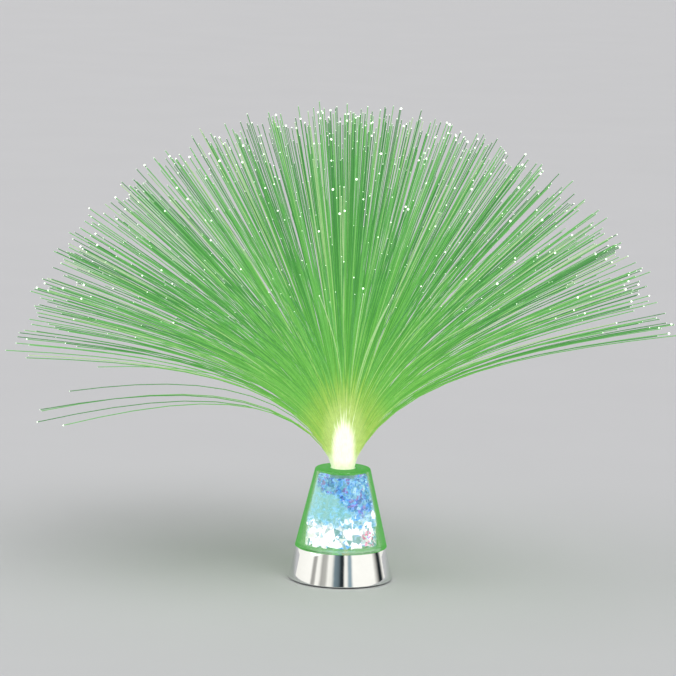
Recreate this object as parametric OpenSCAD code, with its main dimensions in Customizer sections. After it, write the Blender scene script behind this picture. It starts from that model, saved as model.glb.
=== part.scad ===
// Battery-powered fibre optic table lamp: a spray of plastic fibres stands in a clear cone
// filled with crystal chips, on a chromed base that holds three cells and three LEDs.
// Sizes are in millimetres. The origin is on the table at the lamp's axis, +Z is up and
// the front of the lamp faces -Y.

/* [Base shell] */
// Diameter of the chromed shell at its bottom rim
base_d = 74; // [73:0.5:82]
// Diameter of the chromed shell at its top edge
base_top_d = 64; // [63:0.5:70]
// Height of the chromed shell
base_h = 22.7; // [22.2:0.1:28]
// Wall of the chromed shell, measured level
base_wall = 2; // [1.6:0.1:2.4]
// Thickness of the shell's top flange
flange_t = 2; // [1.6:0.1:2.4]
// Height of the shell's rim above the table
foot_lift = 0.8; // [0.5:0.1:1.4]
// Diameter of each rubber foot
foot_d = 5.6; // [4:0.2:6]

/* [Bottom plate] */
// Thickness of the bottom plate
plate_t = 2; // [1.8:0.1:2.4]
// Depth of the plate inside the shell's rim
plate_recess = 0.4; // [0.2:0.1:0.8]
// Wall of the battery tray
tray_wall = 1.4; // [1.2:0.1:1.6]
// Diameter of the screws' heads
screw_head_d = 4.8; // [4:0.1:5]
// Diameter of the screws' shanks
screw_d = 2.6; // [2.2:0.1:2.8]

/* [Battery door] */
// Thickness of the battery door
door_t = 1.6; // [1.3:0.1:1.7]
// Gap all round the door
door_gap = 0.2; // [0.15:0.05:0.3]
// Width of each hook on the door
hook_w = 3.4; // [2.4:0.2:3.6]
// Width of the door's latch tongue
latch_w = 10; // [8:0.5:14]

/* [Cells] */
// Diameter of one cell
cell_d = 10.5; // [10:0.1:10.7]
// Length of one cell with its nub
cell_len = 44.5; // [43:0.1:45]
// Room for a contact spring at the end of a cell
spring_len = 5.7; // [5:0.1:6]
// Diameter of the contact springs' wire
spring_wire_d = 0.6; // [0.4:0.05:0.7]
// Turns of one contact spring
spring_turns = 3; // [2:1:5]

/* [Switch] */
// Travel of the switch's knob
switch_travel = 2.5; // [2:0.1:3]
// Length of the knob along its travel
knob_len = 3; // [2.4:0.1:3.4]
// Width of the knob
knob_w = 2.4; // [2:0.1:2.8]

/* [LED board] */
// Width of the LED board
board_w = 32; // [30:0.5:34]
// Depth of the LED board
board_l = 24; // [22:0.5:26]
// Thickness of the LED board
board_t = 1.6; // [1:0.1:1.6]
// Diameter of an LED's lens
led_d = 5; // [4:0.1:5.2]
// Height of an LED with its dome
led_h = 8.7; // [7.5:0.1:9]

/* [Crystal cone] */
// Distance that the cone's foot stands out past the shell's top edge
cone_overhang = 0.8; // [0:0.1:1.2]
// Diameter of the cone at its top
cone_top_d = 39; // [37:0.5:46]
// Height of the clear cone
cone_h = 56.5; // [50:0.5:70]
// Wall of the clear cone, measured level
cone_wall = 3; // [2.2:0.1:3.2]
// Thickness of the cone's top
cone_top_t = 2.4; // [2:0.1:4]
// Thickness of the cone's floor
floor_t = 2.5; // [2:0.1:3]
// Height of the rim that stands on the floor, inside the cone
rim_h = 14; // [8:0.5:18]
// Width of that rim at its foot
rim_w = 2.6; // [1.6:0.1:6]
// Wall of the light tube round the ferrule
tube_wall = 1.6; // [1.2:0.1:2]
// Layers of crystal chips
chip_layers = 7; // [5:1:8]
// Columns of crystal chips round the tube
chip_columns = 12; // [10:1:14]
// Gap between neighbouring columns of chips
chip_gap = 0.7; // [0.4:0.1:1.2]

/* [Fibre spray] */
// Diameter of the fibre bundle
bundle_d = 16.2; // [15:0.1:17]
// Wall of the ferrule that holds the bundle
ferrule_wall = 0.9; // [0.6:0.05:1.2]
// Depth of the ferrule in the light tube
ferrule_len = 22; // [16:0.5:30]
// Length of a fibre above the bundle's plug
fiber_len = 256; // [180:2:300]
// Width of a fibre across its corners
fiber_d = 0.54; // [0.4:0.02:0.6]
// Rings of fibres in the bundle
fiber_rings = 10; // [8:1:10]
// Lean of the outermost fibres at their tips on the left and right, in degrees from upright
fiber_lean = 85.5; // [60:0.5:88]
// Share of that lean which the outermost fibres lack at the front and back
fiber_flatten = 0.2; // [0:0.01:0.3]
// Share by which the spray leans further to the left, and less far to the right
fiber_bias = 0.045; // [0:0.005:0.06]
// Extra lean of the few fibres that droop, in degrees
fiber_droop = 18; // [0:1:20]

/* [Hidden] */
$fn = 96;
cut = 1;               // how far a cut runs past the face that it opens
edge_steps = 5;        // steps in each rounded edge

// Heights in the base, from the table up
plate_z = foot_lift + plate_recess;
plate_top_z = plate_z + plate_t;
door_top_z = plate_z + door_t;
shell_top_z = foot_lift + base_h;
foot_recess = 0.8;

// Cells and their tray. Cell 2 lies the other way round, so the three are in series.
cell_count = 3;
cell_pitch = cell_d + 0.5;
foam_t = 0.5;
foam_gap = 0.3;
cell_z = door_top_z + foam_t + foam_gap + cell_d / 2;
nub_d = 3.8;
nub_len = 1;
contact_t = 0.4;
tray_in_w = (cell_count - 1) * cell_pitch + cell_d + 1;
tray_in_l = cell_len + spring_len + 2 * contact_t;
tray_ceiling_z = cell_z + cell_d / 2 + 0.3;
tray_top_z = tray_ceiling_z + tray_wall;
tray_corner_r = 3.2;
door_ledge = 0.7;
door_w = tray_in_w + 2 * door_ledge;
door_l = tray_in_l + 2 * door_ledge;
door_corner_r = 3;

// Chromed shell: where its slanting wall stands at a height
shell_tilt = atan((base_d - base_top_d) / 2 / base_h);
function shell_r(z) = (base_d + (base_top_d - base_d) * (z - foot_lift) / base_h) / 2;
function shell_bore_r(z) = shell_r(z) - base_wall;
plate_gap = 0.2;
plate_r = shell_bore_r(plate_top_z) - plate_gap;
rim_r = 0.5;

// Screws that hold the plate to the shell's bosses
screw_angles = [28, 152, 208, 332];
cup_r = screw_head_d / 2 + 1.6;
cup_h = 4;
boss_r = screw_d / 2 + 1.7;
boss_z = plate_z + cup_h;
boss_top_z = shell_top_z - 6.5;
screw_ring_r = shell_bore_r(boss_z) - plate_gap - cup_r;
screw_seat = 2.4;      // depth of the screws' heads in the plate
screw_len = 9;
screw_head_t = 1.8;
foot_ring_r = plate_r - foot_d / 2 - 0.7;
foot_angles = [40, 140, 220, 320];

// Door: its hinge line is at the bottom edge of the opening's -Y side
hinge_y = -(door_l / 2 + door_gap / 2);
hinge_z = plate_z;
hook_x = cell_pitch / 2;
hook_t = 0.8;
hook_rise = plate_top_z + 0.3;
hook_reach = 1.8;      // how far a hook reaches past the hinge line, over the plate
hook_swing_z = plate_z + norm([hook_reach, hook_rise + hook_t - plate_z]) + 0.3;
latch_len = 9;
latch_nose = 0.5;

// Slide switch in its well, right of the tray
tray_out_w = tray_in_w + 2 * tray_wall;
well_wall = 1;
well_w = 8;
well_l = 14;
well_depth = 2.6;
well_floor_t = 1.6;
well_x = tray_out_w / 2 + 1.3 + well_w / 2 + well_wall;
switch_z = plate_z + well_depth + well_floor_t;
switch_h = 4;
switch_wall = 0.7;
carriage_t = 1.2;
carriage_w = knob_w + 1.6;
carriage_l = knob_len + 2;
knob_play = 0.3;
switch_w = carriage_w + 2 * knob_play + 2 * switch_wall;
switch_l = carriage_l + switch_travel + 2 * knob_play + 3;

// LED board on its standoffs over the tray
standoff_h = 1.5;
standoff_r = 2.4;
board_z = tray_top_z + standoff_h;
board_top_z = board_z + board_t;
board_screw_x = board_w / 2 - 3;
board_screw_y = board_l / 2 - 4;
board_screw_d = 1.8;
led_rim_t = 1;
led_rim_d = led_d + 0.8;

// Spray socket: ferrule in the light tube
fit_gap = 0.05;        // play of a piece that turns or slides in its seat
bundle_r = bundle_d / 2;
ferrule_r = bundle_r + ferrule_wall;
socket_r = ferrule_r + fit_gap;
tube_r = socket_r + tube_wall;
ledge_w = 0.8;
light_bore_r = ferrule_r - ledge_w;
led_ring_r = light_bore_r - led_rim_d / 2 - 1.1;

// Clear cone: where its slanting wall stands at a height
cone_d = base_top_d + 2 * cone_overhang;
cone_z = shell_top_z;
cone_top_z = cone_z + cone_h;
function cone_r(z) = (cone_d + (cone_top_d - cone_d) * (z - cone_z) / cone_h) / 2;
function cone_bore_r(z) = cone_r(z) - cone_wall;
floor_top_z = cone_z + floor_t;
cavity_top_z = cone_top_z - cone_top_t;
floor_ledge = 0.7;
floor_r = cone_bore_r(floor_top_z) + floor_ledge;
rim_top_z = floor_top_z + rim_h;
rim_gap = 0.1;         // between the rim and the cone's bore
rim_edge = 0.6;        // width of the rim at its top
dish_r = cone_bore_r(floor_top_z) - rim_gap - rim_w;
dish_top_r = cone_bore_r(rim_top_z) - rim_gap - rim_edge;
function cavity_r(z) =
    min(cone_bore_r(z), dish_r + (dish_top_r - dish_r) * (z - floor_top_z) / rim_h);
tube_seat = 1;
tube_collar_h = 1.6;
tube_collar_wall = 1.5;
ferrule_z = cone_top_z - ferrule_len;

// Snap collar under the cone's floor, which clicks through the shell's flange
collar_r = floor_r - 1.4;
flange_bore_r = collar_r + 0.1;
collar_wall = 2;
collar_depth = flange_t + 1.8;
bead_out = 0.5;

// Bundle: the potted plug sits on the ferrule's lip and stands out of it a little. A slice
// on top of the plug carries each sector, so that the sectors turn clear of the cone.
lip_t = 1;
lip_w = 0.5;
plug_r = bundle_r - fit_gap;
plug_rise = 0.3;
slice_t = 2;
slice_z = cone_top_z + plug_rise;
spray_z = slice_z + slice_t;
sectors = 6;
sector_angle = 360 / sectors;

// ---- Helpers ----

function arc(centre, r, from, to, steps = edge_steps) =
    [for (i = [0:steps]) centre + r * [cos(from + (to - from) * i / steps),
                                       sin(from + (to - from) * i / steps)]];

function rounded_rect(w, l, r) = concat(
    arc([w / 2 - r, l / 2 - r], r, 0, 90), arc([r - w / 2, l / 2 - r], r, 90, 180),
    arc([r - w / 2, r - l / 2], r, 180, 270), arc([w / 2 - r, r - l / 2], r, 270, 360));

// The outer side of a tapered ring, from its bottom edge up, with both edges rounded
function tapered_side(r0, z0, r1, z1, edge0, edge1) =
    let (tilt = atan((r0 - r1) / (z1 - z0)))
    let (low = [r0 + (r1 - r0) * edge0 / (z1 - z0) - edge0 / cos(tilt), z0 + edge0])
    let (high = [r1 + (r0 - r1) * edge1 / (z1 - z0) - edge1 / cos(tilt), z1 - edge1])
    concat(arc(low, edge0, -90, tilt), arc(high, edge1, tilt, 90));

module rounded_block(w, l, r, z0, z1) {
    translate([0, 0, z0])
        linear_extrude(z1 - z0)
            polygon(rounded_rect(w, l, r));
}

module box_between(low, high) {
    translate(low)
        cube(high - low);
}

module on_ring(r, angles) {
    for (a = angles)
        rotate([0, 0, a])
            translate([r, 0, 0])
                children();
}

// Points and faces of a tube with flat sides, swept along a path. The reference direction
// turns its corners, and is never along the path.
function unit(v) = v / norm(v);
function path_way(path, i) =
    unit(path[min(i + 1, len(path) - 1)] - path[max(i - 1, 0)]);
function tube_points(path, r, sides, reference) =
    [for (i = [0:len(path) - 1])
        let (way = path_way(path, i))
        let (across = unit(cross(way, reference)))
        let (up = cross(way, across))
        for (k = [0:sides - 1]) path[i] + r * (cos(360 * k / sides) * across + sin(360 * k / sides) * up)];
function tube_faces(rings, sides) = concat(
    [[for (k = [0:sides - 1]) k]],
    [[for (k = [sides - 1:-1:0]) (rings - 1) * sides + k]],
    [for (i = [0:rings - 2]) for (k = [0:sides - 1])
        let (a = i * sides + k)
        let (b = i * sides + (k + 1) % sides)
        for (face = [[a, a + sides, b + sides], [a, b + sides, b]]) face]);

module tube_along(path, d, sides, reference) {
    polyhedron(tube_points(path, d / 2, sides, reference), tube_faces(len(path), sides));
}

// ---- Base ----

module base_shell() {
    flange_z = shell_top_z - flange_t;
    color("silver")
        difference() {
            union() {
                rotate_extrude()
                    polygon(concat(
                        [[shell_bore_r(foot_lift), foot_lift]],
                        tapered_side(base_d / 2, foot_lift, base_top_d / 2, shell_top_z, rim_r, rim_r),
                        [[flange_bore_r, shell_top_z], [flange_bore_r, flange_z],
                         [shell_bore_r(flange_z), flange_z]]));
                intersection() {
                    shell_bosses();
                    translate([0, 0, foot_lift])
                        cylinder(h = base_h, r1 = base_d / 2 - base_wall / 2, r2 = base_top_d / 2 - base_wall / 2);
                }
            }
            on_ring(screw_ring_r, screw_angles)
                translate([0, 0, boss_z - cut])
                    cylinder(h = screw_len + cut, d = screw_d);
        }
}

// A boss for each screw, with a rib that ties it to the shell's wall
module shell_bosses() {
    rib_t = 1.4;
    on_ring(screw_ring_r, screw_angles) {
        translate([0, 0, boss_z])
            cylinder(h = boss_top_z - boss_z, r = boss_r);
        box_between([0, -rib_t / 2, boss_z + 1], [base_d / 2 - screw_ring_r, rib_t / 2, boss_top_z]);
    }
}

module base_plate() {
    color("#202022") {
        difference() {
            union() {
                translate([0, 0, plate_z])
                    cylinder(h = plate_t, r = plate_r);
                rounded_block(tray_out_w, tray_in_l + 2 * tray_wall, tray_corner_r, plate_z, tray_top_z);
                translate([well_x, 0, 0])
                    rounded_block(well_w + 2 * well_wall, well_l + 2 * well_wall, 1.5, plate_z, switch_z);
                on_ring(screw_ring_r, screw_angles)
                    translate([0, 0, plate_z])
                        cylinder(h = cup_h, r = cup_r);
                board_screw_places()
                    translate([0, 0, tray_top_z - tray_wall])
                        cylinder(h = standoff_h + tray_wall, r = standoff_r);
                switch_fence();
            }
            door_opening();
            rounded_block(tray_in_w, tray_in_l, tray_corner_r - tray_wall, door_top_z - 0.2, tray_ceiling_z);
            plate_screw_holes();
            switch_well();
            contact_slots();
            on_ring(foot_ring_r, foot_angles)
                translate([0, 0, plate_z - cut])
                    cylinder(h = foot_recess + cut, d = foot_d + 2 * fit_gap);
            board_screw_places()
                translate([0, 0, tray_ceiling_z + 0.4])
                    cylinder(h = standoff_h + tray_wall, d = board_screw_d);
        }
        cell_saddles();
    }
}

// The hole that the door closes, with a notch for its latch, room for its hooks to swing,
// and a scoop where a fingertip reaches the latch
module door_opening() {
    rounded_block(door_w + 2 * door_gap, door_l + 2 * door_gap, door_corner_r + door_gap,
                  plate_z - cut, door_top_z);
    notch_w = latch_w + 2 * door_gap;
    notch_y = door_l / 2 + latch_nose + door_gap;
    box_between([-notch_w / 2, 0, plate_z - cut], [notch_w / 2, notch_y, door_top_z]);
    for (side = [-1, 1])
        box_between([side * hook_x - hook_w / 2 - 0.4, -tray_in_l / 2 - tray_wall - cut, plate_top_z],
                    [side * hook_x + hook_w / 2 + 0.4, -tray_in_l / 2 + cut, hook_swing_z]);
    scoop_r = 7;
    translate([0, notch_y - 1, plate_z - scoop_r + 1])
        rotate([0, 90, 0])
            cylinder(h = latch_w, r = scoop_r, center = true);
}

module plate_screw_holes() {
    on_ring(screw_ring_r, screw_angles)
        translate([0, 0, plate_z - cut]) {
            cylinder(h = cup_h + 2 * cut, d = screw_d + 0.4);
            cylinder(h = screw_seat + cut, d = screw_head_d + 0.4);
        }
}

module switch_well() {
    translate([well_x, 0, 0])
        rounded_block(well_w, well_l, 1, plate_z - cut, plate_z + well_depth);
    slot_w = knob_w + 2 * knob_play;
    slot_l = knob_len + switch_travel + 2 * knob_play;
    box_between([well_x - slot_w / 2, -slot_l / 2, plate_z], [well_x + slot_w / 2, slot_l / 2, switch_z + cut]);
}

// Low walls on the plate that hold the switch's ends
module switch_fence() {
    for (side = [-1, 1])
        translate([well_x, side * (switch_l / 2 + 0.1 + 0.6), switch_z - 0.2 + 1.1])
            cube([switch_w, 1.2, 2.2], center = true);
}

// Slots in the tray's ceiling for the two soldering tabs
module contact_slots() {
    tab_w = 3.4;
    for (end = [[-cell_pitch, 1], [cell_pitch, -1]])
        translate([end[0], end[1] * (tray_in_l / 2 - contact_t / 2), tray_ceiling_z])
            cube([tab_w, 2 * contact_t, 2 * tray_wall + 0.2], center = true);
}

// Two ribs across the tray, cut out round the cells' backs
module cell_saddles() {
    rib_t = 1.4;
    for (y = [-tray_in_l / 5, tray_in_l / 5])
        difference() {
            box_between([-tray_in_w / 2, y - rib_t / 2, cell_z + 1.5],
                        [tray_in_w / 2, y + rib_t / 2, tray_ceiling_z]);
            for (i = [0:cell_count - 1])
                translate([cell_x(i), y, cell_z])
                    rotate([90, 0, 0])
                        cylinder(h = 2 * rib_t, d = cell_d + 0.2, center = true);
        }
}

module board_screw_places() {
    for (side = [-1, 1])
        translate([side * board_screw_x, -side * board_screw_y, 0])
            children();
}

module rubber_feet() {
    color("#3a3a3c")
        on_ring(foot_ring_r, foot_angles)
            rotate_extrude()
                polygon(concat([[0, 0]], arc([foot_d / 2 - 0.4, 0.4], 0.4, -90, 0),
                               [[foot_d / 2, plate_z + foot_recess], [0, plate_z + foot_recess]]));
}

// A pan-head screw, its head's underside at height 0 and its shank upward
module screw(head_d, head_t, shank_d, length) {
    difference() {
        union() {
            translate([0, 0, -head_t])
                rotate_extrude()
                    polygon(concat([[0, 0]], arc([head_d / 2 - 0.5, 0.5], 0.5, -90, 0),
                                   [[head_d / 2, head_t], [0, head_t]]));
            cylinder(h = length - shank_d / 2, d = shank_d);
            translate([0, 0, length - shank_d / 2])
                cylinder(h = shank_d / 2, d1 = shank_d, d2 = shank_d / 4);
        }
        for (turn = [0, 90])
            rotate([0, 0, turn])
                translate([0, 0, -head_t])
                    cube([head_d * 0.55, head_d * 0.14, head_t], center = true);
    }
}

module plate_screws() {
    color("#8c8f94")
        on_ring(screw_ring_r, screw_angles)
            translate([0, 0, plate_z + screw_seat])
                screw(screw_head_d, screw_head_t, screw_d, screw_len);
}

// ---- Cells and contacts ----

function cell_x(i) = (i - (cell_count - 1) / 2) * cell_pitch;
function cell_way(i) = i == 1 ? -1 : 1;   // which end, along Y, has the cell's nub

module battery(i) {
    body_l = cell_len - nub_len;
    color("#c9a14a")
        translate([cell_x(i), cell_way(i) * (tray_in_l / 2 - contact_t), cell_z])
            rotate([cell_way(i) * 90, 0, 0])
                rotate_extrude()
                    polygon(concat(
                        [[0, 0], [nub_d / 2, 0], [nub_d / 2, nub_len]],
                        arc([cell_d / 2 - 0.6, nub_len + 0.6], 0.6, -90, 0),
                        arc([cell_d / 2 - 0.4, nub_len + body_l - 0.4], 0.4, 0, 90),
                        [[0, nub_len + body_l]]));
}

// The spring behind each cell is a cone of wire, wide at its contact plate
spring_r0 = 3.4;
spring_r1 = 2.1;
spring_steps = 8;
spring_bite = 0.05;    // how far the spring's first turn is sunk in its plate's weld
function spring_path(i) =
    let (way = -cell_way(i))
    let (seat = way * (tray_in_l / 2 - contact_t))
    let (first = spring_wire_d / 2 - spring_bite)
    let (rise = spring_len - first - spring_wire_d / 2)
    [for (s = [0:spring_turns * spring_steps])
        let (t = s / (spring_turns * spring_steps))
        let (r = spring_r0 + (spring_r1 - spring_r0) * t)
        [cell_x(i) + r * cos(360 * s / spring_steps), seat - way * (first + rise * t),
         cell_z + r * sin(360 * s / spring_steps)]];

module contact_springs() {
    color("#d8d8d2")
        for (i = [0:cell_count - 1])
            tube_along(spring_path(i), spring_wire_d, 6, [0, 1, 0]);
}

// Least gap between one turn of a contact spring and the next, measured on its points
spring_points = spring_path(0);
spring_gap = min([for (a = [0:len(spring_points) - 1])
    for (b = [a + spring_steps / 2 + 1:1:len(spring_points) - 1])
        norm(spring_points[a] - spring_points[b])]) - spring_wire_d;
echo(spring_gap = spring_gap);

// Plates at the tray's ends: a single one for each outer terminal, with its soldering tab,
// and a double one that joins two neighbouring cells
module contact_plates() {
    plate_w = 7.6;
    low_z = hook_swing_z + 0.1;
    high_z = tray_ceiling_z - 0.4;
    color("#d8d8d2")
        for (end = [-1, 1]) {
            y0 = end * (tray_in_l / 2) - (end > 0 ? contact_t : 0);
            single_x = -end * cell_pitch;
            box_between([single_x - plate_w / 2, y0, low_z], [single_x + plate_w / 2, y0 + contact_t, high_z]);
            box_between([single_x - 1.5, y0, high_z], [single_x + 1.5, y0 + contact_t, tab_z]);
            pair_x = [min(0, end * cell_pitch) - plate_w / 2, max(0, end * cell_pitch) + plate_w / 2];
            box_between([pair_x[0], y0, low_z], [pair_x[1], y0 + contact_t, high_z]);
        }
}

// ---- Board, LEDs and wiring ----

module led_board() {
    color("#d9dccf")
        difference() {
            rounded_block(board_w, board_l, 2, board_z, board_top_z);
            board_screw_places()
                translate([0, 0, board_z - cut])
                    cylinder(h = board_t + 2 * cut, d = board_screw_d + 0.4);
        }
}

module led(angle, tint) {
    color(tint)
        rotate([0, 0, angle])
            translate([led_ring_r, 0, board_top_z])
                rotate_extrude()
                    polygon(concat(
                        [[0, 0], [led_rim_d / 2, 0], [led_rim_d / 2, led_rim_t], [led_d / 2, led_rim_t]],
                        arc([0, led_h - led_d / 2], led_d / 2, 0, 90, 10)));
}

module driver_blob() {
    dome_r = 6;
    dome_h = 1.6;
    color("#151517")
        translate([-board_w / 4 - 2, -board_l / 4 - 0.5, board_top_z])
            intersection() {
                translate([0, 0, dome_h - dome_r])
                    sphere(r = dome_r);
                cylinder(h = dome_h + cut, r = dome_r);
            }
}

module led_resistors() {
    color("#2b2b2e")
        for (i = [-1:1])
            translate([board_w / 4 + 1.5, i * 3, board_top_z + 0.3])
                cube([2, 1.2, 0.6], center = true);
}

module board_screws() {
    color("#8c8f94")
        board_screw_places()
            translate([0, 0, board_top_z])
                rotate([180, 0, 0])
                    screw(3.4, 1.2, board_screw_d, standoff_h + board_t + 0.8);
}

module switch_body() {
    pin_h = 2.2;
    color("#b9bcc0")
        difference() {
            union() {
                translate([well_x, 0, 0])
                    rounded_block(switch_w, switch_l, 0.5, switch_z, switch_z + switch_h);
                for (i = [-1:1])
                    translate([well_x, i * 2.5, switch_z + switch_h + pin_h / 2 - 0.1])
                        cube([0.5, 0.9, pin_h + 0.2], center = true);
            }
            box_between(
                [well_x - carriage_w / 2 - knob_play, -(carriage_l + switch_travel) / 2 - knob_play, switch_z - cut],
                [well_x + carriage_w / 2 + knob_play, (carriage_l + switch_travel) / 2 + knob_play,
                 switch_z + carriage_t + 2 * knob_play]);
        }
}

// Routes of the three wires. Each stands upright on the tab, pin or board at its ends. Those
// from the tabs pass between the tray and the floor's collar, and those to the board arch
// half way between it and the cone's floor.
wire_d = 1.3;
collar_z = cone_z - collar_depth;
tab_z = tray_top_z + (collar_z - tray_top_z) / 3;
function pass_z(share) = tray_top_z + wire_d / 2 + share * (collar_z - tray_top_z - wire_d);
tab_y = tray_in_l / 2 - contact_t / 2;
pin_z = switch_z + switch_h + 2.2;
arch_z = (board_top_z + cone_z) / 2;
wire_positive_path = [
    [-cell_pitch, tab_y, tab_z], [-cell_pitch, tab_y, pass_z(0.52)], [-11, 24, pass_z(0.75)],
    [-10.7, 21.5, arch_z - 2.6], [-10.2, 19, arch_z - 2], [-9.2, 15, arch_z - 0.7], [-8.6, 12, arch_z - 0.4],
    [-8.2, 10, arch_z - 0.7], [-8, 9, board_top_z + 1], [-8, 9, board_top_z]];
wire_negative_path = [
    [cell_pitch, -tab_y, tab_z], [cell_pitch, -tab_y, pass_z(0.52)], [11.6, -24, pass_z(0.7)],
    [13.2, -21.5, pass_z(0.67)], [16.2, -17, pass_z(0.6)], [18.9, -11.8, tab_z + 0.2], [21, -8, tab_z - 1.6],
    [23.2, -4.6, tab_z - 2.8], [well_x, -2.5, pin_z + 1.1], [well_x, -2.5, pin_z]];
wire_switched_path = [
    [well_x, 0, pin_z], [well_x, 0, pin_z + 0.9], [24, 1.2, pin_z + 3.4], [21.5, 3.4, arch_z - 3],
    [18.5, 5.2, arch_z - 0.8], [15.4, 6.6, arch_z], [12.9, 7.4, arch_z - 0.4],
    [12, 7.5, board_top_z + 1], [12, 7.5, board_top_z]];

module wire(path, tint, reference) {
    color(tint)
        tube_along(path, wire_d, 6, reference);
}

// ---- Crystal cone ----

module clear_cone() {
    top_edge = 1.5;
    color("#bfe8c8", 0.4)
        rotate_extrude()
            polygon(concat(
                [[floor_r + fit_gap, cone_z]],
                tapered_side(cone_d / 2, cone_z, cone_top_d / 2, cone_top_z, 0.4, top_edge),
                [[socket_r, cone_top_z], [socket_r, cavity_top_z], [tube_r + fit_gap, cavity_top_z],
                 [tube_r + fit_gap, cavity_top_z - tube_collar_h],
                 [tube_r + fit_gap + tube_collar_wall, cavity_top_z - tube_collar_h],
                 [tube_r + fit_gap + tube_collar_wall, cavity_top_z],
                 [cone_bore_r(cavity_top_z), cavity_top_z],
                 [cone_bore_r(floor_top_z), floor_top_z], [floor_r + fit_gap, floor_top_z]]));
}

// The floor closes the cone, seats the light tube and snaps into the shell's flange. Its
// sloping rim carries the light up into the cone's wall.
module cone_floor() {
    collar_z = cone_z - collar_depth;
    bead_z = cone_z - flange_t - 0.1;
    color("#dff2ea", 0.5)
        rotate_extrude()
            polygon([
                [light_bore_r, floor_top_z - tube_seat], [light_bore_r, cone_z],
                [collar_r - collar_wall, cone_z], [collar_r - collar_wall, collar_z],
                [collar_r - 0.4, collar_z], [collar_r, collar_z + 0.4],
                [collar_r, bead_z - 1], [collar_r + bead_out, bead_z - 0.4], [collar_r + bead_out, bead_z],
                [collar_r, bead_z], [collar_r, cone_z], [floor_r, cone_z], [floor_r, floor_top_z],
                [cone_bore_r(floor_top_z) - rim_gap, floor_top_z],
                [cone_bore_r(rim_top_z) - rim_gap, rim_top_z], [dish_top_r, rim_top_z],
                [dish_r, floor_top_z], [tube_r + fit_gap, floor_top_z],
                [tube_r + fit_gap, floor_top_z - tube_seat]]);
}

// A tube from the floor to the cone's top. Its upper bore is the ferrule's socket.
module light_tube() {
    color("#eef8f2", 0.5)
        rotate_extrude()
            polygon([
                [light_bore_r, floor_top_z - tube_seat], [tube_r, floor_top_z - tube_seat],
                [tube_r, cavity_top_z], [socket_r, cavity_top_z], [socket_r, ferrule_z],
                [light_bore_r, ferrule_z]]);
}

// Crushed chips round the light tube. Each column is a stack of chips that lie face on face,
// from the floor up; their corners are scattered, so that no two chips are alike.
chip_rings = 2;
chip_sway = 0.2;       // how far a corner strays along its layer, as a share of a column's width
chips_top_z = cavity_top_z - tube_collar_h - 0.5;
chip_scatter = rands(-1, 1, 3 * (chip_layers + 1) * chip_columns * (chip_rings + 1), 17);
function chip_noise(layer, column, ring, which) =
    chip_scatter[3 * ((layer * chip_columns + column % chip_columns) * (chip_rings + 1) + ring) + which];

// A corner of the scattered grid, drawn in by half the gap towards its own chip
function chip_corner(layer, column, ring, inward, turn) =
    let (inside = layer > 0)
    let (lift = inside ? 0.32 * chip_noise(layer, column, ring, 0) - 0.32 * layer / chip_layers : 0)
    let (z = floor_top_z + (chips_top_z - floor_top_z) * (layer + lift) / chip_layers)
    let (near = (tube_r + 0.4) / cos(180 / chip_columns * (1 + 2 * chip_sway)))
    let (far = cavity_r(z) - 0.3)
    let (share = ring / chip_rings + (ring % chip_rings == 0 ? 0 : 0.12 * chip_noise(0, column, ring, 1)))
    let (r = near + (far - near) * share + inward * chip_gap / 2)
    let (angle = 360 / chip_columns * (column + chip_sway * chip_noise(0, column, ring, 2)))
    let (side = turn * asin(chip_gap / 2 / r))
    [r * cos(angle + side), r * sin(angle + side), z];

module crystal_chip(layer, column, ring) {
    points = [for (up = [0, 1]) each [
        chip_corner(layer + up, column, ring, 1, 1), chip_corner(layer + up, column + 1, ring, 1, -1),
        chip_corner(layer + up, column + 1, ring + 1, -1, -1), chip_corner(layer + up, column, ring + 1, -1, 1)]];
    polyhedron(points, [
        [0, 2, 1], [0, 3, 2], [4, 5, 6], [4, 6, 7],
        [0, 1, 5], [0, 5, 4], [1, 2, 6], [1, 6, 5],
        [2, 3, 7], [2, 7, 6], [3, 0, 4], [3, 4, 7]]);
}

module crystal_chips() {
    color("#a9d8f0")
        for (layer = [0:chip_layers - 1])
            for (column = [0:chip_columns - 1])
                for (ring = [0:chip_rings - 1])
                    crystal_chip(layer, column, ring);
}

// ---- Moving pieces of the base ----

// The knob rests at its ON end, towards +Y
module switch_knob() {
    tip_z = plate_z + 0.6;
    groove = 0.5;
    color("#19191b")
        translate([well_x, switch_travel / 2, 0])
            difference() {
                union() {
                    box_between([-knob_w / 2, -knob_len / 2, tip_z], [knob_w / 2, knob_len / 2, switch_z + 1]);
                    box_between([-carriage_w / 2, -carriage_l / 2, switch_z + knob_play],
                                [carriage_w / 2, carriage_l / 2, switch_z + knob_play + carriage_t]);
                }
                for (i = [-1:1])
                    translate([0, i * knob_len / 3.4, tip_z])
                        rotate([45, 0, 0])
                            cube([knob_w + cut, groove, groove], center = true);
            }
}

module battery_door() {
    color("#2a2a2d")
        difference() {
            union() {
                rounded_block(door_w, door_l, door_corner_r, plate_z, door_top_z);
                box_between([-latch_w / 2, door_l / 2 - 1, plate_z + 0.2],
                            [latch_w / 2, door_l / 2 + latch_nose, door_top_z - 0.4]);
                for (side = [-1, 1])
                    translate([side * hook_x - hook_w / 2, 0, 0])
                        door_hook();
            }
            for (side = [-1, 1])
                box_between([side * (latch_w / 2 + 0.6) - 0.4, door_l / 2 - latch_len, plate_z - cut],
                            [side * (latch_w / 2 + 0.6) + 0.4, door_l / 2 + cut, door_top_z + cut]);
            for (i = [0:3])
                box_between([-latch_w / 2 + 1.5, door_l / 2 - 2.4 - 1.6 * i, plate_z - cut],
                            [latch_w / 2 - 1.5, door_l / 2 - 1.6 - 1.6 * i, plate_z + 0.4]);
        }
}

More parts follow.
